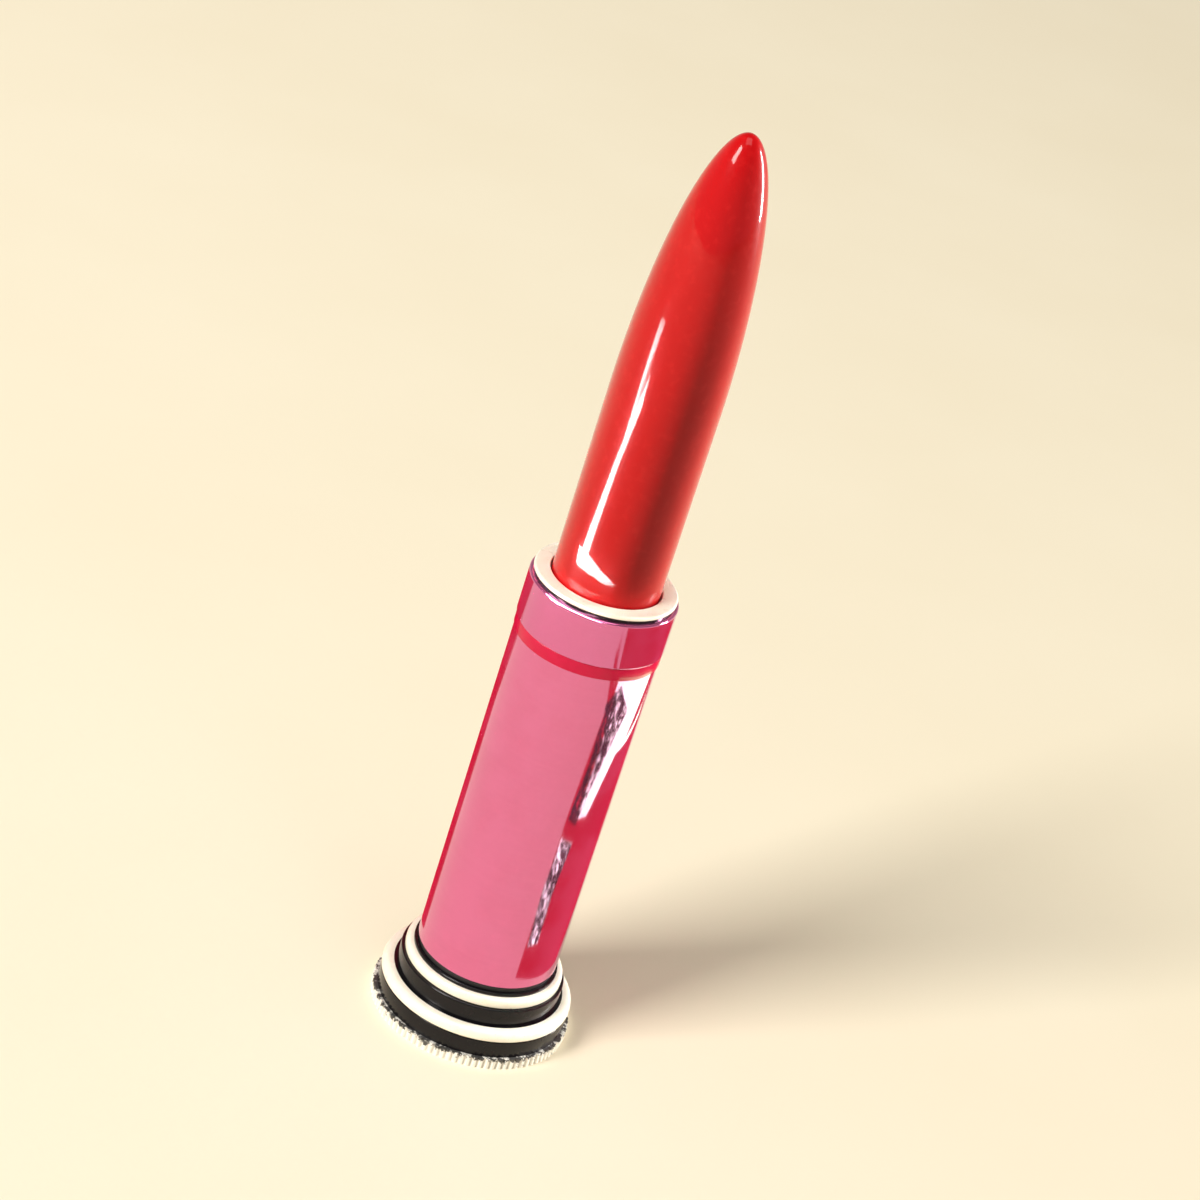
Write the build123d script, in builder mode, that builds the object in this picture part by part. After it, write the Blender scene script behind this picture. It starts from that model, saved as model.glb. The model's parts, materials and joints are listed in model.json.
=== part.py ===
from build123d import *
from math import cos, atan, pi
import os

# A twist-up lipstick, shown wound up. Millimetres, +Z up, origin at the centre of the foot.
# Three bodies move against each other:
#   the base    - the stepped black foot with its trim rings, and the spiral tube standing in it
#   the sleeve  - pink sleeve, collar and mouth, with the slotted guide tube hanging inside
#   the carrier - the cup and the bullet
# The cup's two lugs pass through the guide tube's straight slots into the spiral tube's
# helical slots, so turning the sleeve against the base raises or lowers the bullet.

# ---------------------------------------------------------------- bullet, sleeve and mouth
bullet_r = 5.0  # straight part of the bullet
bullet_exposed = 43.0  # bullet above the mouth when wound up
nose_length = 25.0  # the nose is half an ellipse this long
sleeve_length = 33.9
sleeve_wall = 0.47
band_height = 1.2
band_proud = 0.07  # out from the sleeve
collar_height = 4.5
collar_proud = 0.15  # out from the sleeve
collar_spigot = 2.0  # down into the sleeve
collar_spigot_wall = 0.22
mouth_line_height = 0.35  # black ring between the collar and the mouth's lip
mouth_line_inset = 0.15  # in from the lip
lip_height = 0.35
lip_inset = 0.1  # in from the sleeve
mouth_spigot = 1.8  # down into the collar

# ---------------------------------------------------------------- stepped base
foot_height = 1.1
lower_band_height = 1.7
lower_ring_height = 1.0
upper_band_height = 1.7
upper_ring_height = 0.9
neck_height = 0.3  # above the upper ring
neck_wall = 0.75
upper_ring_width = 0.65
lower_ring_width = 1.0
ledge = 0.3  # flat beside each trim ring
ring_proud = 0.05  # lower ring out from the band below it
foot_proud = 0.38  # coin edge out from the lower band
groove_count = 96
groove_side = 0.3
shell_wall = 0.5
foot_spigot = 0.7  # up into the shell
foot_spigot_wall = 0.6
foot_flange = 0.6  # holds the cover from below
cover_recess = 0.4  # cover above the table
cover_thickness = 0.6
label_thickness = 0.1
label_margin = 0.6
liner_wall = 0.4
liner_flange = 0.5

# ---------------------------------------------------------------- mechanism
cup_wall = 0.35
cup_floor = 0.7
cup_recess = 0.8  # cup's edge below the mouth when wound up
vent_r = 0.75
rib_count = 6
rib_height = 0.2
rib_width = 0.5
rib_drop = 1.2  # ribs end this far below the cup's edge
tube_wall = 0.35  # guide tube and spiral tube
lug_r = 0.7
lead = 16.0  # travel in one turn
end_ring = 0.9  # spiral tube beyond its slots
slip_washer_thickness = 0.45
slip_washer_inset = 0.15
thin_washer = 0.2
retainer_height = 0.5
retainer_width = 0.65

# ---------------------------------------------------------------- clearances
running = 0.06  # radial, between tubes that turn or slide in each other
bullet_gap = 0.15  # radial, between the bullet and the mouth's lip
end_play = 0.05
lug_clearance = 0.1
lug_end_gap = 0.06  # lug's end inside the spiral tube's outer face
floor_gap = 0.25  # moving parts above the cover

# ---------------------------------------------------------------- radii, from the bullet outwards
cup_r = bullet_r + cup_wall
guide_bore = cup_r + running
guide_r = guide_bore + tube_wall
spiral_bore = guide_r + running
spiral_r = spiral_bore + tube_wall
sleeve_bore = spiral_r + running
sleeve_r = sleeve_bore + sleeve_wall
collar_spigot_r = sleeve_bore + collar_spigot_wall
lip_bore = bullet_r + bullet_gap
lip_r = sleeve_r - lip_inset
neck_r = spiral_r + neck_wall
liner_r = spiral_r + liner_wall
upper_ring_r = neck_r + upper_ring_width
upper_band_r = upper_ring_r + ledge
cavity_r = upper_band_r - shell_wall
lower_seat_r = upper_band_r + ledge
lower_ring_r = lower_seat_r + lower_ring_width
lower_band_r = lower_ring_r - ring_proud
foot_bore_r = lower_band_r - shell_wall
cover_r = foot_bore_r - foot_spigot_wall
foot_hole_r = cover_r - foot_flange
foot_r = lower_band_r + foot_proud

# ---------------------------------------------------------------- heights, from the table upwards
cover_top = cover_recess + cover_thickness
guide_z = cover_top + floor_gap
retainer_top = guide_z + retainer_height
spiral_z = retainer_top + thin_washer + end_play
lower_ring_z = foot_height + lower_band_height
upper_band_z = lower_ring_z + lower_ring_height
upper_ring_z = upper_band_z + upper_band_height
cavity_top = upper_ring_z - shell_wall
neck_top = upper_ring_z + upper_ring_height + neck_height
sleeve_z = neck_top + slip_washer_thickness + end_play
band_z = sleeve_z + sleeve_length
collar_z = band_z + band_height
collar_top = collar_z + collar_height
lip_z = collar_top + mouth_line_height
mouth_top = lip_z + lip_height
tip_z = mouth_top + bullet_exposed
nose_z = tip_z - nose_length
flange_top = collar_top - mouth_spigot
flange_z = flange_top - tube_wall
spiral_top = flange_z - thin_washer - end_play

# ---------------------------------------------------------------- the screw
slot_width = 2 * (lug_r + lug_clearance)
helical_slot_height = slot_width / cos(atan(lead / (2 * pi * spiral_bore)))
lug_low = spiral_z + end_ring + helical_slot_height / 2
lug_high = spiral_top - end_ring - helical_slot_height / 2
stroke = lug_high - lug_low
full_turn = 360 * stroke / lead  # degrees from wound up to wound down
cup_z = cover_top + floor_gap + stroke
cup_top = mouth_top - cup_recess
socket_z = cup_z + cup_floor


def tube(bottom, top, inner, outer, mode=Mode.ADD):
    """A tube between two heights, or a disc where inner is 0."""
    with BuildSketch(Plane.XY.offset(bottom)) as section:
        Circle(outer)
        if inner:
            Circle(inner, mode=Mode.SUBTRACT)
    extrude(section.sketch, amount=top - bottom, mode=mode)


def cup_ribs(mode):
    """The ribs inside the cup, which also press into the bullet."""
    with BuildSketch(Plane.XY.offset(socket_z)) as section:
        with PolarLocations(bullet_r, rib_count, start_angle=90 / rib_count):
            Rectangle(2 * rib_height, rib_width)
    extrude(section.sketch, amount=cup_top - rib_drop - socket_z, mode=mode)


def rim(piece, height, place=-1):
    """The widest round edge at a height, or the narrowest where place is 0."""
    circles = piece.edges().filter_by(GeomType.CIRCLE)
    return circles.filter_by_position(Axis.Z, height - 0.001, height + 0.001).sort_by(SortBy.RADIUS)[place]


# ================================================================ base
with BuildPart() as foot_ring:
    with BuildSketch():
        Circle(foot_r)
        with PolarLocations(foot_r, groove_count):
            Rectangle(groove_side, groove_side, rotation=45, mode=Mode.SUBTRACT)
        Circle(foot_hole_r, mode=Mode.SUBTRACT)
    extrude(amount=foot_height)
    tube(cover_recess, foot_height, 0, cover_r, mode=Mode.SUBTRACT)
    tube(foot_height, foot_height + foot_spigot, cover_r, foot_bore_r)
    chamfer(rim(foot_ring, foot_height + foot_spigot), foot_spigot_wall / 4)

with BuildPart() as bottom_cover:
    tube(cover_recess, cover_top, 0, cover_r)
    fillet(rim(bottom_cover, cover_top), cover_thickness / 4)

with BuildPart() as shade_label:
    tube(cover_recess - label_thickness, cover_recess, 0, foot_hole_r - label_margin)

with BuildPart() as base_shell:
    with BuildSketch(Plane.XZ):
        with BuildLine():
            Polyline(
                (foot_bore_r, foot_height),
                (lower_band_r, foot_height),
                (lower_band_r, lower_ring_z),
                (lower_seat_r, lower_ring_z),
                (lower_seat_r, upper_band_z),
                (upper_band_r, upper_band_z),
                (upper_band_r, upper_ring_z),
                (neck_r, upper_ring_z),
                (neck_r, neck_top),
                (spiral_r, neck_top),
                (spiral_r, cavity_top),
                (cavity_r, cavity_top),
                (cavity_r, lower_ring_z - shell_wall),
                (foot_bore_r, lower_ring_z - shell_wall),
                close=True,
            )
        make_face()
    revolve(axis=Axis.Z)
    fillet(rim(base_shell, neck_top), neck_height / 2)
    fillet(rim(base_shell, upper_ring_z), ledge / 2)

with BuildPart() as lower_trim_ring:
    tube(lower_ring_z, upper_band_z, lower_seat_r, lower_ring_r)
    fillet(rim(lower_trim_ring, upper_band_z), 0.7 * min(lower_ring_width, lower_ring_height))
    fillet(rim(lower_trim_ring, lower_ring_z), 0.2 * min(lower_ring_width, lower_ring_height))

with BuildPart() as upper_trim_ring:
    tube(upper_ring_z, upper_ring_z + upper_ring_height, neck_r, upper_ring_r)
    fillet(
        rim(upper_trim_ring, upper_ring_z + upper_ring_height),
        0.7 * min(upper_ring_width, upper_ring_height),
    )
    fillet(rim(upper_trim_ring, upper_ring_z), 0.2 * min(upper_ring_width, upper_ring_height))

with BuildPart() as base_liner:
    tube(spiral_z, cavity_top, spiral_r, liner_r)
    tube(spiral_z, spiral_z + liner_flange, spiral_r, cavity_r)

with BuildPart() as base_weight:
    tube(spiral_z + liner_flange, cavity_top, liner_r, cavity_r)

with BuildPart() as slip_washer:
    tube(neck_top, neck_top + slip_washer_thickness, spiral_r, sleeve_r - slip_washer_inset)

# A bar along a left-hand helix cuts each helical slot, and a round hole finishes each end.
with BuildPart() as helical_bar:
    with BuildLine() as centre_line:
        Helix(lead, stroke, spiral_bore + tube_wall / 2, center=(0, 0, lug_low), lefthand=True)
    with BuildSketch(Plane(origin=centre_line.line @ 0, x_dir=(1, 0, 0), z_dir=(0, 1, 0))):
        Rectangle(3 * tube_wall, helical_slot_height)
    sweep(path=centre_line.line, is_frenet=True)

with BuildPart() as spiral_tube:
    tube(spiral_z, spiral_top, spiral_bore, spiral_r)
    for side in (0, 180):
        add(helical_bar.part, rotation=(0, 0, full_turn + side), mode=Mode.SUBTRACT)
    for height, turn in ((lug_high, 0), (lug_low, full_turn)):
        with BuildSketch(Plane.YZ.rotated((0, 0, turn))):
            with Locations((0, height)):
                Circle(slot_width / 2)
        extrude(amount=2 * spiral_r, both=True, mode=Mode.SUBTRACT)

# ================================================================ sleeve
with BuildPart() as outer_sleeve:
    tube(sleeve_z, band_z, sleeve_bore, sleeve_r)
    tube(collar_z - collar_spigot, band_z, 0, collar_spigot_r, mode=Mode.SUBTRACT)
    fillet(rim(outer_sleeve, sleeve_z), sleeve_wall / 4)

with BuildPart() as colour_band:
    tube(band_z, collar_z, collar_spigot_r, sleeve_r + band_proud)

with BuildPart() as collar:
    tube(collar_z, collar_top, sleeve_bore, sleeve_r + collar_proud)
    tube(collar_z - collar_spigot, collar_z, sleeve_bore, collar_spigot_r)
    fillet(rim(collar, collar_z), collar_proud)
    fillet(rim(collar, collar_top), collar_proud)

with BuildPart() as mouth_line_ring:
    tube(collar_top, lip_z, sleeve_bore, lip_r - mouth_line_inset)

with BuildPart() as mouth_ring:
    tube(flange_top, lip_z, guide_bore, sleeve_bore)
    tube(lip_z, mouth_top, lip_bore, lip_r)
    fillet(rim(mouth_ring, mouth_top), 0.6 * lip_height)
    fillet(rim(mouth_ring, mouth_top, 0), 0.3 * lip_height)

with BuildPart() as guide_tube:
    tube(guide_z, flange_top, guide_bore, guide_r)
    tube(flange_z, flange_top, guide_bore, sleeve_bore)
    with BuildSketch(Plane.XY.offset(guide_z)):
        Rectangle(2 * spiral_r, slot_width)
    extrude(amount=lug_high - guide_z, mode=Mode.SUBTRACT)
    with BuildSketch(Plane.YZ):
        with Locations((0, lug_high)):
            Circle(slot_width / 2)
    extrude(amount=2 * spiral_r, both=True, mode=Mode.SUBTRACT)

with BuildPart() as top_washer:
    tube(flange_z - thin_washer, flange_z, guide_r, spiral_r)

with BuildPart() as bottom_washer:
    tube(retainer_top, retainer_top + thin_washer, guide_r, guide_r + retainer_width)

with BuildPart() as retaining_ring:
    tube(guide_z, retainer_top, guide_r, guide_r + retainer_width)
    chamfer(rim(retaining_ring, guide_z), retainer_width / 4)

# ================================================================ carrier
with BuildPart() as carrier_cup:
    tube(cup_z, cup_top, 0, cup_r)
    with BuildSketch(Plane.YZ):
        with Locations((0, lug_high)):
            Circle(lug_r)
    extrude(amount=spiral_r, both=True)
    tube(cup_z, cup_top, 0, spiral_r - lug_end_gap, mode=Mode.INTERSECT)
    tube(socket_z, cup_top, 0, bullet_r, mode=Mode.SUBTRACT)
    tube(cup_z, socket_z, 0, vent_r, mode=Mode.SUBTRACT)
    cup_ribs(Mode.ADD)
    chamfer(rim(carrier_cup, cup_z), cup_wall / 2)

with BuildPart() as lipstick_bullet:
    tube(socket_z, nose_z, 0, bullet_r)
    cup_ribs(Mode.SUBTRACT)
    with BuildSketch(Plane.XZ):
        with BuildLine():
            Polyline((0, tip_z), (0, nose_z), (bullet_r, nose_z))
            EllipticalCenterArc((0, nose_z), bullet_r, nose_length, arc_size=90)
        make_face()
    revolve(axis=Axis.Z)

# ================================================================ files
pieces = {
    "foot_ring": foot_ring,
    "bottom_cover": bottom_cover,
    "shade_label": shade_label,
    "base_shell": base_shell,
    "lower_trim_ring": lower_trim_ring,
    "upper_trim_ring": upper_trim_ring,
    "base_liner": base_liner,
    "base_weight": base_weight,
    "slip_washer": slip_washer,
    "spiral_tube": spiral_tube,
    "outer_sleeve": outer_sleeve,
    "colour_band": colour_band,
    "collar": collar,
    "mouth_line_ring": mouth_line_ring,
    "mouth_ring": mouth_ring,
    "guide_tube": guide_tube,
    "top_washer": top_washer,
    "bottom_washer": bottom_washer,
    "retaining_ring": retaining_ring,
    "carrier_cup": carrier_cup,
    "lipstick_bullet": lipstick_bullet,
}

os.makedirs("parts", exist_ok=True)
for name, piece in pieces.items():
    piece.part.label = name
    export_step(piece.part, f"parts/{name}.step")

print(f"stroke {stroke:.4f} mm, sleeve turn {full_turn:.3f} degrees")
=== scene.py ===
import json
from math import asin, cos, hypot, pi, radians, sin

import bmesh
import bpy
from mathutils import Matrix, Vector

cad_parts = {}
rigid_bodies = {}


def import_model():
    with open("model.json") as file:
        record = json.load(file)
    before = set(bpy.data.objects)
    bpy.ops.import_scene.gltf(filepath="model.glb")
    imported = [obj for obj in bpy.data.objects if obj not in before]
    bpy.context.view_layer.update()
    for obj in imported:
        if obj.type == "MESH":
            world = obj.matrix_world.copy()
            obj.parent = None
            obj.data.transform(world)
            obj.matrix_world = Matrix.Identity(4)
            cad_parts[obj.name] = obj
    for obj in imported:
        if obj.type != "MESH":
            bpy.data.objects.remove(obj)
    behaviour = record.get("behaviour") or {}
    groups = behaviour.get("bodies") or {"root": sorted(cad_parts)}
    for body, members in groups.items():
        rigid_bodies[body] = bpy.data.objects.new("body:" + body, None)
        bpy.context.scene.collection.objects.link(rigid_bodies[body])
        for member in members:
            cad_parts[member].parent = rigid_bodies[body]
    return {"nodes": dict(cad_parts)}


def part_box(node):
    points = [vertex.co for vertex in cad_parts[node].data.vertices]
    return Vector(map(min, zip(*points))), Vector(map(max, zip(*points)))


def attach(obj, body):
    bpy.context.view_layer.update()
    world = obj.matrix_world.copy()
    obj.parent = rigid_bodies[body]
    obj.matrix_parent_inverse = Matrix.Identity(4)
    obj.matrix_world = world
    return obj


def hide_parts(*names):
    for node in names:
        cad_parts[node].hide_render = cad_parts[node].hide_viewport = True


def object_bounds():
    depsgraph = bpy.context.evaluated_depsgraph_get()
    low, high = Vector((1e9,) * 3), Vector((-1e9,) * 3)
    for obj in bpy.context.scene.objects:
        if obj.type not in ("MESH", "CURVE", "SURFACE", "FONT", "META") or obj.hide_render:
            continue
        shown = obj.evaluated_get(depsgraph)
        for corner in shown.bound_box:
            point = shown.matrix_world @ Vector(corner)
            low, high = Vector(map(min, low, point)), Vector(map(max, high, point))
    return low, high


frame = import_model()
cad_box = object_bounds()

mm = 0.001
scene = bpy.context.scene

# ---------------------------------------------------------------- sizes
# Radii and heights come from the frame. These are the few that a node's box can't give.
nose_length = 25 * mm
running_gap = 0.06 * mm  # between tubes that turn or slide in each other
merge_distance = 0.001 * mm
upper_ring_width = 0.65 * mm
lower_ring_width = 1.0 * mm
ledge = 0.3 * mm
shell_wall = 0.5 * mm
collar_spigot_wall = 0.22 * mm
foot_wall = 0.6 * mm
bullet_gap = 0.15 * mm  # between the bullet and the mouth's lip
groove_count = 96
groove_depth = 0.21 * mm


def radius(node):
    """Outer radius of a round CAD node."""
    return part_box(node)[1].y


def bottom(node):
    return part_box(node)[0].z


def top(node):
    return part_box(node)[1].z


guide_bore = radius("carrier_cup") + running_gap
sleeve_bore = radius("spiral_tube") + running_gap
neck_r = radius("upper_trim_ring") - upper_ring_width
upper_band_r = radius("upper_trim_ring") + ledge
lower_seat_r = radius("lower_trim_ring") - lower_ring_width
lower_band_r = radius("base_shell")
cover_r = radius("bottom_cover")
mouth_r = radius("mouth_ring")
collar_r = radius("collar")
sleeve_r = radius("outer_sleeve")


# ================================================================ making pieces
def finished(bm, name, body, node, finish):
    """Turns a bmesh into a smooth piece that stands for a CAD node and rides on its body."""
    bmesh.ops.recalc_face_normals(bm, faces=bm.faces[:])
    for face in bm.faces:
        face.smooth = True
    mesh = bpy.data.meshes.new(name)
    bm.to_mesh(mesh)
    bm.free()
    mesh.set_sharp_from_angle(angle=radians(40))
    mesh.materials.append(finish)
    piece = bpy.data.objects.new(name, mesh)
    scene.collection.objects.link(piece)
    weighted = piece.modifiers.new("even shading", "WEIGHTED_NORMAL")
    weighted.keep_sharp = True
    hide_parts(node)
    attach(piece, body)


def level_edges(bm, r, z):
    """The edges of the circle of this radius at this height."""
    close = 0.002 * mm
    return [
        edge
        for edge in bm.edges
        if all(abs(v.co.z - z) < close and abs(hypot(v.co.x, v.co.y) - r) < close for v in edge.verts)
    ]


def turned(corners, steps=192):
    """A bmesh turned about the lipstick's axis. Each corner is its radius, height and rounding."""
    bm = bmesh.new()
    verts = [bm.verts.new((r, 0, z)) for r, z, rounding in corners]
    loop = zip(verts, verts[1:] + verts[:1])
    edges = [bm.edges.new(pair) for pair in loop]
    bmesh.ops.spin(
        bm, geom=verts + edges, cent=(0, 0, 0), axis=(0, 0, 1), angle=2 * pi, steps=steps, use_merge=True
    )
    bmesh.ops.remove_doubles(bm, verts=bm.verts[:], dist=merge_distance)
    bmesh.ops.recalc_face_normals(bm, faces=bm.faces[:])
    for r, z, rounding in corners:
        if rounding:
            bmesh.ops.bevel(
                bm,
                geom=level_edges(bm, r, z),
                offset=rounding,
                offset_type="OFFSET",
                segments=5,
                profile=0.5,
                affect="EDGES",
                material=-1,
            )
    return bm


# ================================================================ shading
def socket_name(word):
    """The shader's own name for a socket, from base_color to Base Color."""
    return word.replace("_", " ").title().replace("Ior", "IOR")


class Output:
    """A node's output. Arithmetic on it adds Math nodes."""

    def __init__(self, finish, socket):
        self.finish = finish
        self.socket = socket

    def math(self, operation, first, second):
        return self.finish.node("Math", {"operation": operation}, {0: first, 1: second})

    def __add__(self, other):
        return self.math("ADD", self, other)

    def __radd__(self, other):
        return self.math("ADD", other, self)

    def __sub__(self, other):
        return self.math("SUBTRACT", self, other)

    def __rsub__(self, other):
        return self.math("SUBTRACT", other, self)

    def __mul__(self, other):
        return self.math("MULTIPLY", self, other)

    def __rmul__(self, other):
        return self.math("MULTIPLY", other, self)

    def __gt__(self, other):
        return self.math("GREATER_THAN", self, other)

    def __lt__(self, other):
        return self.math("LESS_THAN", self, other)


class Finish:
    """One procedural material. Patterns are laid out in millimetres on the object's own frame."""

    def __init__(self, name, **uniform):
        self.material = bpy.data.materials.new(name)
        self.material.use_nodes = True
        self.tree = self.material.node_tree
        self.shader = self.tree.nodes["Principled BSDF"]
        for socket, value in uniform.items():
            self.feed(self.shader.inputs[socket_name(socket)], value)
        place = self.node("TexCoord", outputs=["Object"])
        self.place = self.node("Mapping", {}, {"Vector": place, "Scale": (1 / mm,) * 3})
        self.x, self.y, self.z = self.node("SeparateXYZ", {}, {0: self.place}, "XYZ")
        self.from_axis = self.root(self.x * self.x + self.y * self.y)

    def node(self, kind, settings=None, inputs=None, outputs=(0,)):
        """Adds a shader node. Returns its first output, the named one, or a list of the named ones."""
        node = self.tree.nodes.new("ShaderNode" + kind)
        for setting, value in (settings or {}).items():
            setattr(node, setting, value)
        for socket, value in (inputs or {}).items():
            self.feed(node.inputs[socket], value)
        found = [Output(self, node.outputs[name]) for name in outputs]
        return found if len(found) > 1 else found[0]

    def feed(self, socket, value):
        if isinstance(value, Output):
            self.tree.links.new(value.socket, socket)
        else:
            socket.default_value = value

    def root(self, value):
        return self.node("Math", {"operation": "SQRT"}, {0: value})

    def size_of(self, value):
        return self.node("Math", {"operation": "ABSOLUTE"}, {0: value})

    def smooth(self, value, low, high):
        """0 below low, 1 above high, and a smooth step between."""
        settings = {"interpolation_type": "SMOOTHSTEP", "clamp": True}
        return self.node("MapRange", settings, {"Value": value, "From Min": low, "From Max": high})

    def noise(self, scale, detail=3.0, stretch=(1, 1, 1), roughness=0.5):
        """Noise between about 0.3 and 0.7, with scale in cycles per millimetre."""
        vector = self.node("Mapping", {}, {"Vector": self.place, "Scale": stretch})
        inputs = {"Vector": vector, "Scale": scale, "Detail": detail, "Roughness": roughness}
        return self.node("TexNoise", {}, inputs, ["Fac"])

    def around(self, scale, detail=3.0):
        """Noise drawn out round the axis, as a lathe leaves it."""
        vector = self.node("CombineXYZ", {}, {"X": self.from_axis, "Y": 0.0, "Z": self.z})
        return self.node("TexNoise", {}, {"Vector": vector, "Scale": scale, "Detail": detail}, ["Fac"])

    def mix(self, factor, first, second):
        """Two colours mixed. The sockets are numbered, because its number and colour ones share names."""
        return self.node("Mix", {"data_type": "RGBA"}, {0: factor, 6: first, 7: second}, [2])

    def bump(self, height, depth, strength=1.0, under=None):
        inputs = {"Height": height, "Distance": depth * mm, "Strength": strength}
        if under:
            inputs["Normal"] = under
        return self.node("Bump", {}, inputs)

    def set(self, **sockets):
        for socket, value in sockets.items():
            self.feed(self.shader.inputs[socket_name(socket)], value)
        return self.material


def colour(red, green, blue):
    """A colour given as it looks, from 0 to 255, as the linear values that shaders use."""
    def linear(value):
        value /= 255
        return value / 12.92 if value <= 0.04045 else ((value + 0.055) / 1.055) ** 2.4

    return (linear(red), linear(green), linear(blue), 1.0)


def wax():
    """Moulded lipstick: satin wax under a thin gloss, with the mould's parting line and a faint bloom."""
    f = Finish(
        "red wax", coat_weight=1.0, coat_roughness=0.02, coat_ior=1.3, specular_ior_level=0.04,
        subsurface_weight=0.1, subsurface_radius=(1.0 * mm, 0.15 * mm, 0.15 * mm), subsurface_scale=1.0,
    )
    flow = f.noise(0.35, 4, (1, 1, 0.25))
    bloom = f.smooth(f.noise(1.3, 5), 0.5, 0.75)
    pores = f.noise(9.0, 3)
    seam = 1 - f.smooth(f.size_of(f.y), 0.02, 0.09)
    red = f.mix(flow, colour(172, 6, 11), colour(190, 10, 16))
    red = f.mix(bloom * 0.2, red, colour(214, 36, 34))
    normal = f.bump(pores, 0.004, 0.4)
    normal = f.bump(seam, 0.03, 0.8, normal)
    return f.set(base_color=red, roughness=0.3 + bloom * 0.16, normal=normal)


def anodised(name, light, deep):
    """Polished pink metal under a clear lacquer, with turning marks and handling smudges."""
    f = Finish(name, coat_weight=0.3, coat_roughness=0.04)
    turning = f.around(14.0, 4)
    smudge = f.smooth(f.noise(0.22, 5), 0.42, 0.62)
    flake = f.smooth(f.noise(30.0, 1), 0.6, 0.7)
    pink = f.mix(turning, light, deep)
    pink = f.mix(flake * 0.12, pink, colour(255, 205, 220))
    normal = f.bump(turning, 0.003, 0.5)
    return f.set(
        base_color=pink, metallic=0.82 + smudge * 0.08, roughness=0.06 + smudge * 0.05 + turning * 0.03,
        normal=normal,
    )


def enamel():
    """Magenta enamel line, hand filled."""
    f = Finish("magenta enamel", coat_weight=0.6, coat_roughness=0.05, coat_ior=1.3, specular_ior_level=0.12)
    pooled = f.noise(0.8, 3)
    tint = f.mix(pooled, colour(180, 8, 52), colour(198, 16, 64))
    return f.set(base_color=tint, roughness=0.25 + pooled * 0.1, normal=f.bump(pooled, 0.03, 0.5))


def cream():
    """Ivory moulding, a little mottled, with scattered flecks of grime."""
    f = Finish(
        "cream trim", coat_weight=0.5, coat_roughness=0.08, subsurface_weight=0.05, subsurface_scale=0.5 * mm,
    )
    mottle = f.noise(1.1, 5)
    flecks = f.smooth(f.noise(7.0, 2), 0.66, 0.72)
    ivory = f.mix(mottle, colour(240, 230, 206), colour(250, 243, 226))
    ivory = f.mix(flecks * 0.35, ivory, colour(196, 176, 140))
    return f.set(
        base_color=ivory, roughness=0.22 + mottle * 0.16, normal=f.bump(f.noise(4.0, 3), 0.008, 0.6)
    )


def black_gloss():
    """Gloss black moulding with fine turning marks, dust and a few smudges."""
    f = Finish("gloss black", coat_weight=0.5, coat_roughness=0.05, coat_ior=1.3, specular_ior_level=0.15)
    turning = f.around(9.0, 4)
    smudge = f.smooth(f.noise(0.35, 5), 0.45, 0.65)
    dust = f.smooth(f.noise(11.0, 2), 0.7, 0.76)
    black = f.mix(turning, colour(12, 11, 13), colour(22, 20, 23))
    black = f.mix(dust * 0.4, black, colour(120, 112, 104))
    return f.set(
        base_color=black, roughness=0.16 + smudge * 0.16 + dust * 0.3, normal=f.bump(turning, 0.004, 0.5)
    )


def speckled():
    """White foot ring speckled with black, the speckles thicker towards its upper edge, and painted shade
    greying the floors of its grooves.
    """
    f = Finish("speckled white", coat_weight=0.3, coat_roughness=0.15)
    foot_r = radius("foot_ring") / mm
    foot_top = bottom("base_shell") / mm
    # Painted shade: the band 0.17 to 0.4 mm in from the rim, mostly the groove floors, is greyed as if in
    # shadow.
    groove = 1 - f.smooth(f.from_axis, foot_r - 0.17, foot_r - 0.04)
    outside = f.from_axis > foot_r - 0.4
    # Black speckles from noise, growing thicker towards the ring's upper edge.
    speckle_level = f.noise(1.3, 6, roughness=0.75) + f.smooth(f.z, 0.3 * foot_top, foot_top) * 0.14
    black_speckle = f.smooth(speckle_level, 0.6, 0.64)
    white = f.mix(f.noise(1.5, 4), colour(238, 232, 218), colour(252, 249, 240))
    # The painted groove shade is mixed in here.
    tint = f.mix(groove * outside * 0.35, white, colour(170, 164, 152))
    tint = f.mix(black_speckle * 0.95, tint, colour(22, 20, 22))
    return f.set(
        base_color=tint, roughness=0.3 + black_speckle * 0.25, normal=f.bump(f.noise(6.0, 3), 0.015, 0.6)
    )


def metal(name, light, dark, roughness):
    """Drawn or turned bare metal."""
    f = Finish(name, metallic=1.0)
    lines = f.around(12.0, 4)
    stain = f.noise(0.6, 4)
    tint = f.mix(lines * 0.6 + stain * 0.4, dark, light)
    return f.set(base_color=tint, roughness=roughness + lines * 0.15, normal=f.bump(lines, 0.006, 0.5))


def moulded(name, light, dark):
    """Plain satin moulding."""
    f = Finish(name)
    grain = f.noise(5.0, 4)
    return f.set(
        base_color=f.mix(grain, dark, light), roughness=0.4 + grain * 0.2, normal=f.bump(grain, 0.01, 0.5)
    )


def printed_label():
    """Paper disc with a plain swatch of the bullet's colour and a thin rule round it."""
    f = Finish("paper label")
    label_r = radius("shade_label") / mm
    fibre = f.noise(6.0, 5, (1, 3, 1))
    paper = f.mix(fibre, colour(228, 220, 200), colour(246, 240, 226))
    swatch = f.from_axis < label_r * 0.55
    rule = (f.from_axis > label_r * 0.82) * (f.from_axis < label_r * 0.86)
    tint = f.mix(rule, paper, colour(60, 52, 48))
    tint = f.mix(swatch, tint, colour(212, 24, 34))
    return f.set(base_color=tint, roughness=0.55 + fibre * 0.2, normal=f.bump(fibre, 0.01, 0.6))


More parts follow.
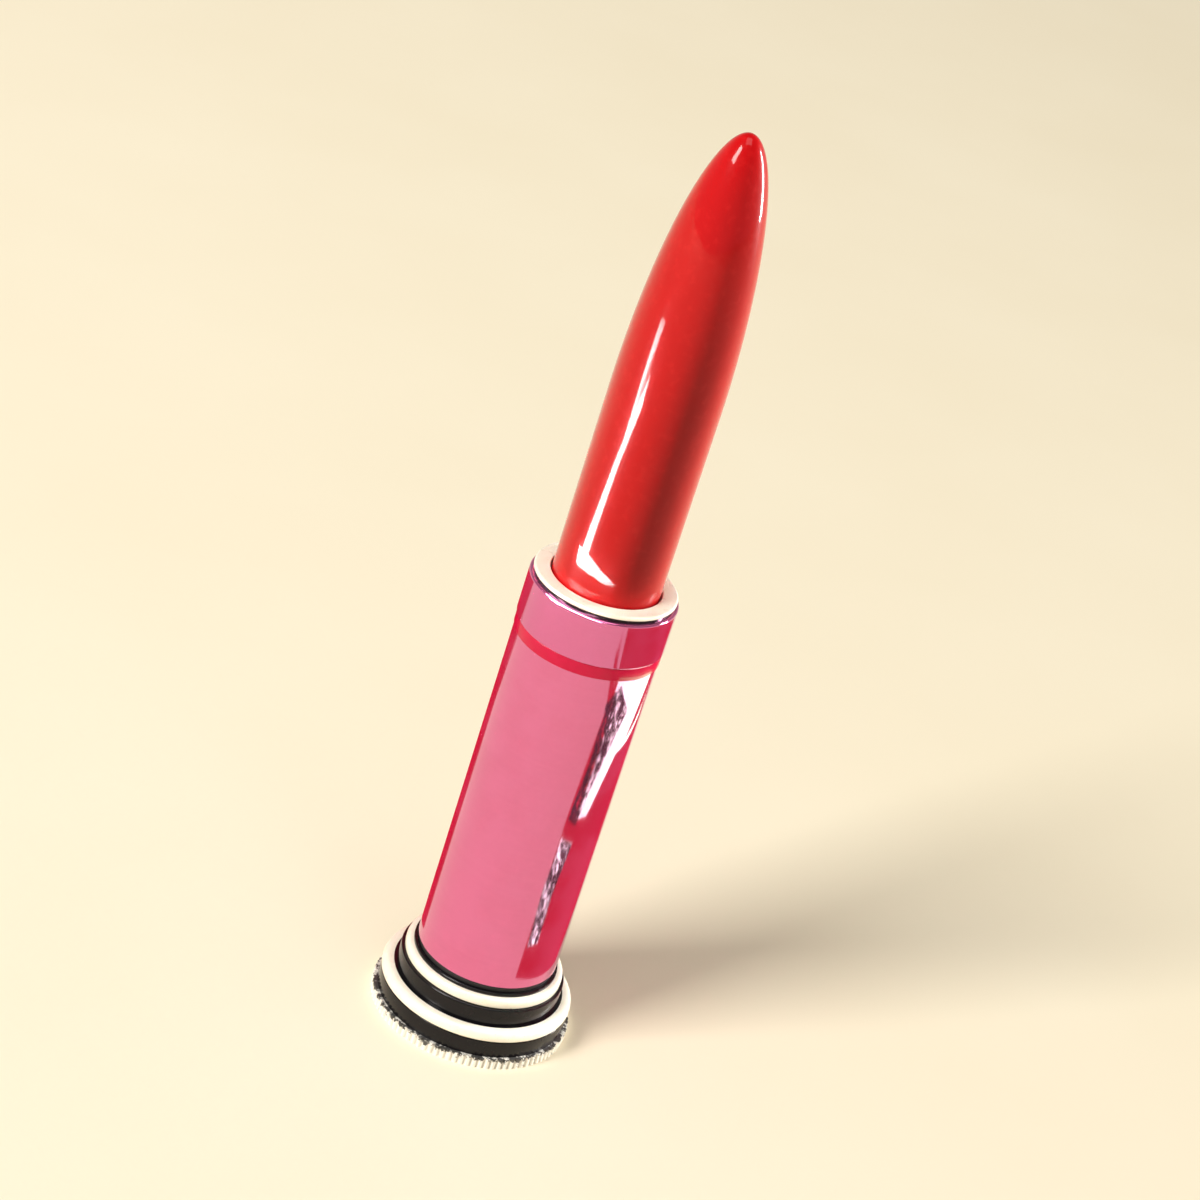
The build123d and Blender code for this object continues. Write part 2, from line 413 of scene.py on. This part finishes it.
red_wax = wax()
pink_sleeve = anodised("pink lacquered metal", colour(223, 121, 167), colour(216, 109, 157))
pink_collar = anodised("pink collar metal", colour(220, 122, 172), colour(211, 105, 157))
magenta = enamel()
ivory = cream()
black = black_gloss()
speckle = speckled()
brass = metal("drawn brass", colour(232, 200, 120), colour(196, 156, 84), 0.22)
steel = metal("turned steel", colour(196, 198, 202), colour(140, 142, 146), 0.3)
bright = metal("bright aluminium", colour(236, 236, 238), colour(196, 198, 202), 0.2)
acetal = moulded("black acetal", colour(40, 38, 40), colour(18, 17, 18))
natural = moulded("natural moulding", colour(226, 224, 216), colour(196, 194, 186))
label = printed_label()


# ================================================================ pieces
def make_bullet():
    """The nose is half a sphere drawn out, and the stem is its rim extruded down."""
    r = radius("lipstick_bullet")
    nose_z = top("lipstick_bullet") - nose_length
    bm = bmesh.new()
    bmesh.ops.create_uvsphere(bm, u_segments=192, v_segments=96, radius=r)
    bmesh.ops.bisect_plane(
        bm, geom=bm.verts[:] + bm.edges[:] + bm.faces[:], dist=merge_distance,
        plane_co=(0, 0, 0), plane_no=(0, 0, 1), clear_inner=True,
    )
    bmesh.ops.scale(bm, vec=(1, 1, nose_length / r), verts=bm.verts[:])
    bmesh.ops.translate(bm, vec=(0, 0, nose_z), verts=bm.verts[:])
    rim = [edge for edge in bm.edges if edge.is_boundary]
    stem = bmesh.ops.extrude_edge_only(bm, edges=rim)["geom"]
    foot = [item for item in stem if isinstance(item, bmesh.types.BMVert)]
    bmesh.ops.translate(bm, vec=(0, 0, bottom("lipstick_bullet") - nose_z), verts=foot)
    bmesh.ops.contextual_create(bm, geom=[edge for edge in bm.edges if edge.is_boundary])
    finished(bm, "bullet", "carrier", "lipstick_bullet", red_wax)


def make_foot():
    """The coin-edged foot ring. Every third line of its rim is drawn in to make a groove."""
    rim_r = radius("foot_ring")
    step_z = bottom("base_shell")
    lip_r = cover_r - foot_wall
    lip_z = bottom("bottom_cover")
    corners = [
        (lip_r, 0, 0.1 * mm), (rim_r, 0, 0), (rim_r, step_z, 0), (cover_r, step_z, 0),
        (cover_r, lip_z, 0), (lip_r, lip_z, 0.05 * mm),
    ]
    bm = turned(corners, 3 * groove_count)
    grooves = [vert for vert in bm.verts if on_rim(vert, rim_r) and in_groove(vert)]
    drawn_in = 1 - groove_depth / rim_r
    bmesh.ops.scale(bm, vec=(drawn_in, drawn_in, 1), verts=grooves)
    finished(bm, "coin_edged_foot", "base", "foot_ring", speckle)


def on_rim(vert, rim_r):
    return abs(hypot(vert.co.x, vert.co.y) - rim_r) < 0.01 * mm


def in_groove(vert):
    angle = vert.co.xy.angle_signed(Vector((1, 0)))
    return abs(sin(angle * groove_count / 2)) < 0.1


def make_rings():
    """The black shell, its trim rings and the slip washer."""
    low, high = bottom("base_shell"), top("base_shell")
    lower_z, upper_z = bottom("lower_trim_ring"), bottom("upper_trim_ring")
    band_z = top("lower_trim_ring")
    ring_top = top("upper_trim_ring")
    spiral_r = radius("spiral_tube")
    cavity_r = radius("base_weight")
    cavity_top = top("base_weight")
    foot_bore = lower_band_r - shell_wall
    shell = [
        (foot_bore, low, 0), (lower_band_r, low, 0.05 * mm), (lower_band_r, lower_z, 0.1 * mm),
        (lower_seat_r, lower_z, 0), (lower_seat_r, band_z, 0.05 * mm), (upper_band_r, band_z, 0),
        (upper_band_r, upper_z, 0.14 * mm), (neck_r, upper_z, 0), (neck_r, high, 0.12 * mm),
        (spiral_r, high, 0), (spiral_r, cavity_top, 0), (cavity_r, cavity_top, 0),
        (cavity_r, lower_z - shell_wall, 0), (foot_bore, lower_z - shell_wall, 0),
    ]
    finished(turned(shell), "stepped_base", "base", "base_shell", black)
    lower_r = radius("lower_trim_ring")
    lower = [
        (lower_seat_r, lower_z, 0), (lower_r, lower_z, 0.2 * mm),
        (lower_r, band_z, 0.68 * mm), (lower_seat_r, band_z, 0),
    ]
    finished(turned(lower), "lower_rim", "base", "lower_trim_ring", ivory)
    upper_r = radius("upper_trim_ring")
    upper = [
        (neck_r, upper_z, 0), (upper_r, upper_z, 0.12 * mm),
        (upper_r, ring_top, 0.44 * mm), (neck_r, ring_top, 0),
    ]
    finished(turned(upper), "upper_rim", "base", "upper_trim_ring", ivory)
    washer = [
        (spiral_r, bottom("slip_washer"), 0), (radius("slip_washer"), bottom("slip_washer"), 0.05 * mm),
        (radius("slip_washer"), top("slip_washer"), 0.05 * mm), (spiral_r, top("slip_washer"), 0),
    ]
    finished(turned(washer), "slip_ring", "base", "slip_washer", acetal)


def make_sleeve():
    """The pink sleeve with its magenta line, collar and cream mouth."""
    low, high = bottom("outer_sleeve"), top("outer_sleeve")
    collar_z, collar_top = top("colour_band"), top("collar")
    spigot_r = sleeve_bore + collar_spigot_wall
    spigot_z = bottom("collar")
    sleeve = [
        (sleeve_bore, low, 0.05 * mm), (sleeve_r, low, 0.12 * mm), (sleeve_r, high, 0.03 * mm),
        (spigot_r, high, 0), (spigot_r, spigot_z, 0), (sleeve_bore, spigot_z, 0),
    ]
    finished(turned(sleeve), "sleeve", "sleeve", "outer_sleeve", pink_sleeve)
    band_r = radius("colour_band")
    band = [
        (spigot_r, high, 0), (band_r, high, 0.04 * mm), (band_r, collar_z, 0.04 * mm), (spigot_r, collar_z, 0),
    ]
    finished(turned(band), "colour_line", "sleeve", "colour_band", magenta)
    collar = [
        (sleeve_bore, spigot_z, 0), (spigot_r, spigot_z, 0), (spigot_r, collar_z, 0),
        (collar_r, collar_z, 0.14 * mm), (collar_r, collar_top, 0.18 * mm), (sleeve_bore, collar_top, 0),
    ]
    finished(turned(collar), "collar_shell", "sleeve", "collar", pink_collar)
    lip_z, mouth_top = top("mouth_line_ring"), top("mouth_ring")
    line_r = radius("mouth_line_ring")
    line = [
        (sleeve_bore, collar_top, 0), (line_r, collar_top, 0), (line_r, lip_z, 0), (sleeve_bore, lip_z, 0),
    ]
    finished(turned(line), "mouth_line", "sleeve", "mouth_line_ring", black)
    lip_bore = radius("lipstick_bullet") + bullet_gap
    mouth = [
        (guide_bore, bottom("mouth_ring"), 0), (sleeve_bore, bottom("mouth_ring"), 0), (sleeve_bore, lip_z, 0),
        (mouth_r, lip_z, 0.06 * mm), (mouth_r, mouth_top, 0.2 * mm), (lip_bore, mouth_top, 0.1 * mm),
        (lip_bore, lip_z, 0), (guide_bore, lip_z, 0),
    ]
    finished(turned(mouth), "mouth_rim", "sleeve", "mouth_ring", ivory)


make_bullet()
make_foot()
make_rings()
make_sleeve()

# The hidden pieces keep their own shapes.
inside = {
    "bottom_cover": black,
    "shade_label": label,
    "base_liner": natural,
    "base_weight": steel,
    "spiral_tube": brass,
    "guide_tube": brass,
    "top_washer": natural,
    "bottom_washer": natural,
    "retaining_ring": steel,
    "carrier_cup": bright,
}
for node, finish in inside.items():
    for slot in frame["nodes"][node].material_slots:
        slot.material = finish


# ================================================================ floor
def floor_finish():
    """Plain pale floor, faintly mottled."""
    f = Finish("pale floor", specular_ior_level=0.0)
    mottle = f.noise(0.02, 3)
    tint = f.mix(mottle, colour(242, 230, 202), colour(247, 237, 212))
    return f.set(base_color=tint, roughness=0.6 + mottle * 0.1, normal=f.bump(f.noise(1.5, 3), 0.01, 0.2))


floor_half_width = 1.5
bm = bmesh.new()
bmesh.ops.create_grid(bm, x_segments=1, y_segments=1, size=floor_half_width)
floor_mesh = bpy.data.meshes.new("floor")
bm.to_mesh(floor_mesh)
bm.free()
floor_mesh.materials.append(floor_finish())
floor = bpy.data.objects.new("floor", floor_mesh)
scene.collection.objects.link(floor)

# ================================================================ camera
middle = (cad_box[0] + cad_box[1]) / 2
camera_elevation = radians(27)
camera_lean = radians(18)  # the lipstick leans to the upper right
lens = 100
sensor_width = 36
frame_width = 106 * mm
distance = frame_width * lens / sensor_width
camera_data = bpy.data.cameras.new("camera")
camera_data.lens = lens
camera = bpy.data.objects.new("camera", camera_data)
scene.collection.objects.link(camera)
towards = Vector((0, cos(camera_elevation), -sin(camera_elevation)))
camera.location = middle - towards * distance
turn = towards.to_track_quat("-Z", "Y").to_matrix().to_4x4() @ Matrix.Rotation(camera_lean, 4, "Z")
camera.rotation_euler = turn.to_euler()
camera_data.clip_start = 0.01
scene.camera = camera


# ================================================================ light
def soft_light(name, azimuth, elevation, away, size, watts, tint=(1, 1, 1)):
    """A softbox aimed at the middle. Azimuth is to the camera's right, seen from the object."""
    data = bpy.data.lights.new(name, "AREA")
    data.shape = "RECTANGLE"
    data.size, data.size_y = size
    data.energy = watts
    data.color = tint
    lamp = bpy.data.objects.new(name, data)
    scene.collection.objects.link(lamp)
    a, e = radians(azimuth), radians(elevation)
    outward = Vector((sin(a) * cos(e), -cos(a) * cos(e), sin(e)))
    lamp.location = middle + outward * away
    lamp.rotation_euler = (-outward).to_track_quat("-Z", "Y").to_euler()
    return lamp


def mirrored(across, height, r, azimuth, away):
    """Where the camera's line of sight, mirrored by an upright cylinder, meets an upright card. Across
    goes from -1 to 1 over the cylinder's width. Lengths are in millimetres."""
    facing = asin(across)
    level = cos(camera_elevation)
    start = Vector((sin(facing), -cos(facing), 0)) * r
    ray = Vector((level * sin(2 * facing), -level * cos(2 * facing), -sin(camera_elevation)))
    card_faces = Vector((sin(radians(azimuth)), -cos(radians(azimuth)), 0))
    reach = (away - start.dot(card_faces)) / ray.dot(card_faces)
    return start + ray * reach + Vector((0, 0, height))


def divided(outline, parts=12):
    """The outline with every side divided, so that it follows the curved mirror."""
    for (across, height), (next_across, next_height) in zip(outline, outline[1:] + outline[:1]):
        for share in (step / parts for step in range(parts)):
            yield across + (next_across - across) * share, height + (next_height - height) * share


def stage_card(name, points, finish):
    """A flat card of the stage, which the camera doesn't see."""
    bm = bmesh.new()
    bmesh.ops.contextual_create(bm, geom=[bm.verts.new(point * mm) for point in points])
    mesh = bpy.data.meshes.new(name)
    bm.to_mesh(mesh)
    bm.free()
    mesh.materials.append(finish)
    card = bpy.data.objects.new(name, mesh)
    scene.collection.objects.link(card)
    card.visible_camera = False
    card.visible_transmission = False
    return card


def reflection(name, node, azimuth, away, outline, glow, tint=(1, 1, 1), ragged=0.0):
    """A card that only glossy surfaces see. A lit one makes a glint, and a dark one a dark streak. The
    outline is laid on the round node that mirrors it, as share across it and height in millimetres. A
    ragged card is eaten away like a dry brush stroke."""
    r = radius(node) / mm
    points = [mirrored(across, height, r, azimuth, away) for across, height in divided(outline)]
    f = Finish(name, specular_ior_level=0.0, emission_strength=glow)
    level = 0.495 if glow else 0.455  # a dark stroke is the fuller one
    brushed = f.smooth(f.noise(0.8, 6, roughness=0.85), level - 0.01, level + 0.01)
    solid = brushed * ragged + (1 - ragged)
    finish = f.set(base_color=(0, 0, 0, 1), emission_color=(*tint, 1), alpha=solid)
    card = stage_card(name, points, finish)
    card.visible_diffuse = False
    card.visible_shadow = False


def shade_card():
    """A black card that takes light off the bullet's right front, for a darker strip down it."""
    f = Finish("shade card", specular_ior_level=0.0)
    azimuth = radians(35)
    from_axis = 6.6
    corners = [(-2.4, 48.5), (2.4, 48.5), (1.6, 89), (-1.6, 89)]
    to_right = Matrix.Rotation(azimuth, 3, "Z")
    points = [to_right @ Vector((across, -from_axis, up)) for across, up in corners]
    card = stage_card("shade card", points, f.set(base_color=(0, 0, 0, 1)))
    card.visible_glossy = False


soft_light("key", -45, 38, 2.0, (0.6, 0.8), 42, (1.0, 0.985, 0.96))
rim = soft_light("rim", 116, 12, 0.5, (0.06, 0.25), 4.5)
soft_light("overhead", 10, 80, 2.0, (1.2, 1.2), 12.5)
own_light = bpy.data.collections.new("lit by the rim light")
for piece in scene.objects:
    if piece.type == "MESH" and piece != floor:
        own_light.objects.link(piece)
rim.light_linking.receiver_collection = own_light

glint_line = [
    (-0.5, 78), (-0.42, 67.5), (-0.5, 61), (-0.56, 54), (-0.58, 51), (-0.44, 51), (-0.44, 54),
    (-0.41, 61), (-0.33, 67.5), (-0.43, 78),
]
glint_foot = [(-0.64, 51.8), (-0.6, 50), (-0.3, 49.7), (0.2, 49.6), (-0.1, 50.4), (-0.44, 51.5)]
glint_glow = 60
reflection("glint line", "lipstick_bullet", -53, 20, glint_line, glint_glow)
reflection("glint foot", "lipstick_bullet", -30, 8, glint_foot, glint_glow)
magenta_glow = (0.75, 0.0, 0.04)
warm_white = (0.42, 1.0, 0.64)  # looks white once the pink metal has tinted it
white_streak = [
    (0.56, 40.9), (0.975, 40.9), (0.96, 36), (0.83, 32.5), (0.72, 26), (0.6, 25.7), (0.62, 33),
]
black_streak = [
    (0.5, 38.5), (0.62, 40.4), (0.8, 37.5), (0.72, 33), (0.66, 29), (0.62, 25), (0.5, 25.7), (0.54, 32),
]
low_streak = [(0.5, 23.5), (0.66, 23), (0.62, 17), (0.64, 11.5), (0.52, 11), (0.48, 17)]
right_side = [
    (0.4, 46.8), (0.98, 46.8), (0.98, 7.2), (0.5, 7.2), (0.48, 26), (0.53, 40), (0.48, 42.3), (0.4, 44),
]
left_side = [(-0.998, 47), (-0.86, 47), (-0.92, 36), (-0.92, 7), (-0.998, 7)]
streak_glow = 7
right = 80  # the azimuth of the cards on the right
reflection("black streak", "outer_sleeve", right, 11.2, black_streak, 0, ragged=1.0)
reflection("white streak", "outer_sleeve", right, 11.4, white_streak, streak_glow, warm_white, 0.3)
reflection("low black streak", "outer_sleeve", right, 11.3, low_streak, 0, ragged=1.0)
reflection("low white streak", "outer_sleeve", right, 11.5, low_streak, streak_glow, warm_white)
reflection("right side", "outer_sleeve", right, 12, right_side, 1, magenta_glow)
reflection("left side", "outer_sleeve", -135, 12, left_side, 1, magenta_glow)
shade_card()


def studio_world():
    """Soft surroundings, as bright as the floor at the horizon and dimmer overhead."""
    world = bpy.data.worlds.new("studio")
    world.use_nodes = True
    nodes, links = world.node_tree.nodes, world.node_tree.links
    direction = nodes.new("ShaderNodeTexCoord").outputs["Generated"]
    split = nodes.new("ShaderNodeSeparateXYZ")
    links.new(direction, split.inputs[0])
    fade = nodes.new("ShaderNodeMapRange")
    fade.interpolation_type = "SMOOTHSTEP"
    fade.inputs["From Max"].default_value = 0.8  # about 53 degrees up
    fade.inputs["To Min"].default_value = 0.62
    fade.inputs["To Max"].default_value = 0.15
    links.new(split.outputs["Z"], fade.inputs["Value"])
    background = nodes["Background"]
    background.inputs["Color"].default_value = (1.0, 0.94, 0.84, 1.0)
    links.new(fade.outputs["Result"], background.inputs["Strength"])
    return world


scene.world = studio_world()
scene.view_settings.view_transform = "Standard"
